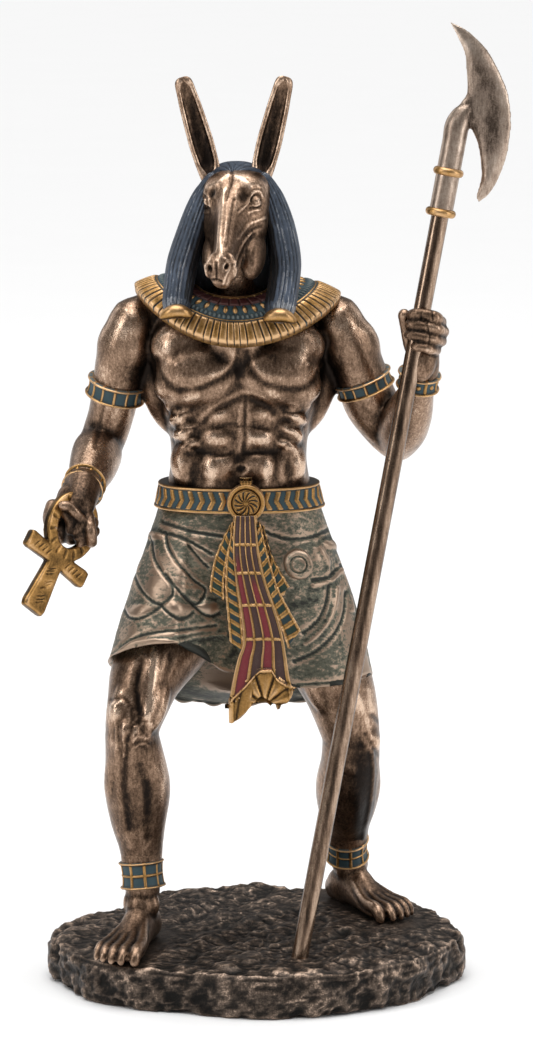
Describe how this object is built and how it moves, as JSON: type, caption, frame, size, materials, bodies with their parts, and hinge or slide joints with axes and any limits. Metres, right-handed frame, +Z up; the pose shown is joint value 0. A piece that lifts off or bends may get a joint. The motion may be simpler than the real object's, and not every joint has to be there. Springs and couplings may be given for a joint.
{
  "type": "seth statue",
  "caption": "Standing statue of an animal-headed man in a kilt, striding on a rough rock base, with an ankh in his right hand and a long-shafted battle axe in his left.",
  "frame": {"origin": "middle of the base's flat underside", "axes": "+Z up along the height, the figure faces -Y, +X on the figure's left (the axe side)"},
  "size_m": [0.1427, 0.1074, 0.289],
  "materials": {
    "bronze": "cold-cast bronze, rubbed bright on the high places and dark in the folds",
    "dark_bronze": "dark rough rock with dry-brushed bronze edges",
    "shaft_bronze": "smooth bronze-coloured rod, satin",
    "axe_bronze": "brushed bronze-coloured metal, satin",
    "gold": "antique gold with dark scratches"
  },
  "bodies": {
    "root": {"figure": "bronze", "rock_base": "dark_bronze", "staff_shaft": "shaft_bronze", "axe_head": "axe_bronze", "ankh": "gold"}
  },
  "joints": []
}
